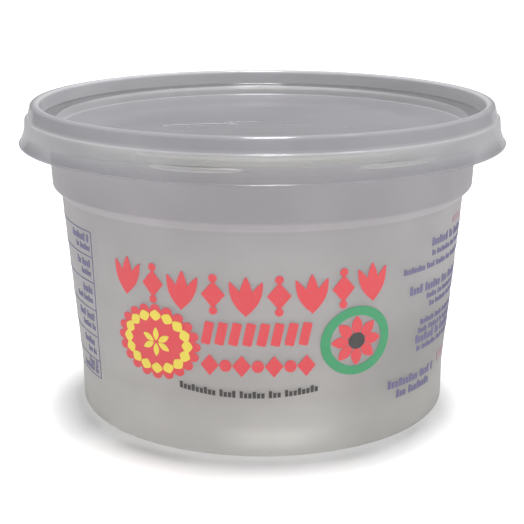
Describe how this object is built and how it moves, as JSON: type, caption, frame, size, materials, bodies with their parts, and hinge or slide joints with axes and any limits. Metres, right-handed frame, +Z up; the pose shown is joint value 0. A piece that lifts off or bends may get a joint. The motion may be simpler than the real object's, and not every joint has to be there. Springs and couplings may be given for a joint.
{
  "type": "lidded cheese tub",
  "caption": "Round translucent plastic cheese tub with a tapered wall, a stepped collar and a shut, clear press-fit lid with a raised stacking ring.",
  "frame": {"origin": "centre of the base, in the plane that the tub stands on", "axes": "+Z up along the axis of the tub and lid; -Y towards the printed front; +X to the right seen from the front"},
  "size_m": [0.118, 0.118, 0.075],
  "materials": {
    "tub_plastic": "hazy, translucent moulded plastic with a soft sheen and coloured print",
    "lid_plastic": "thin, clear to slightly cloudy moulded plastic with crisp highlights on its edges"
  },
  "bodies": {
    "root": {"tub": "tub_plastic", "lid": "lid_plastic"}
  },
  "joints": []
}
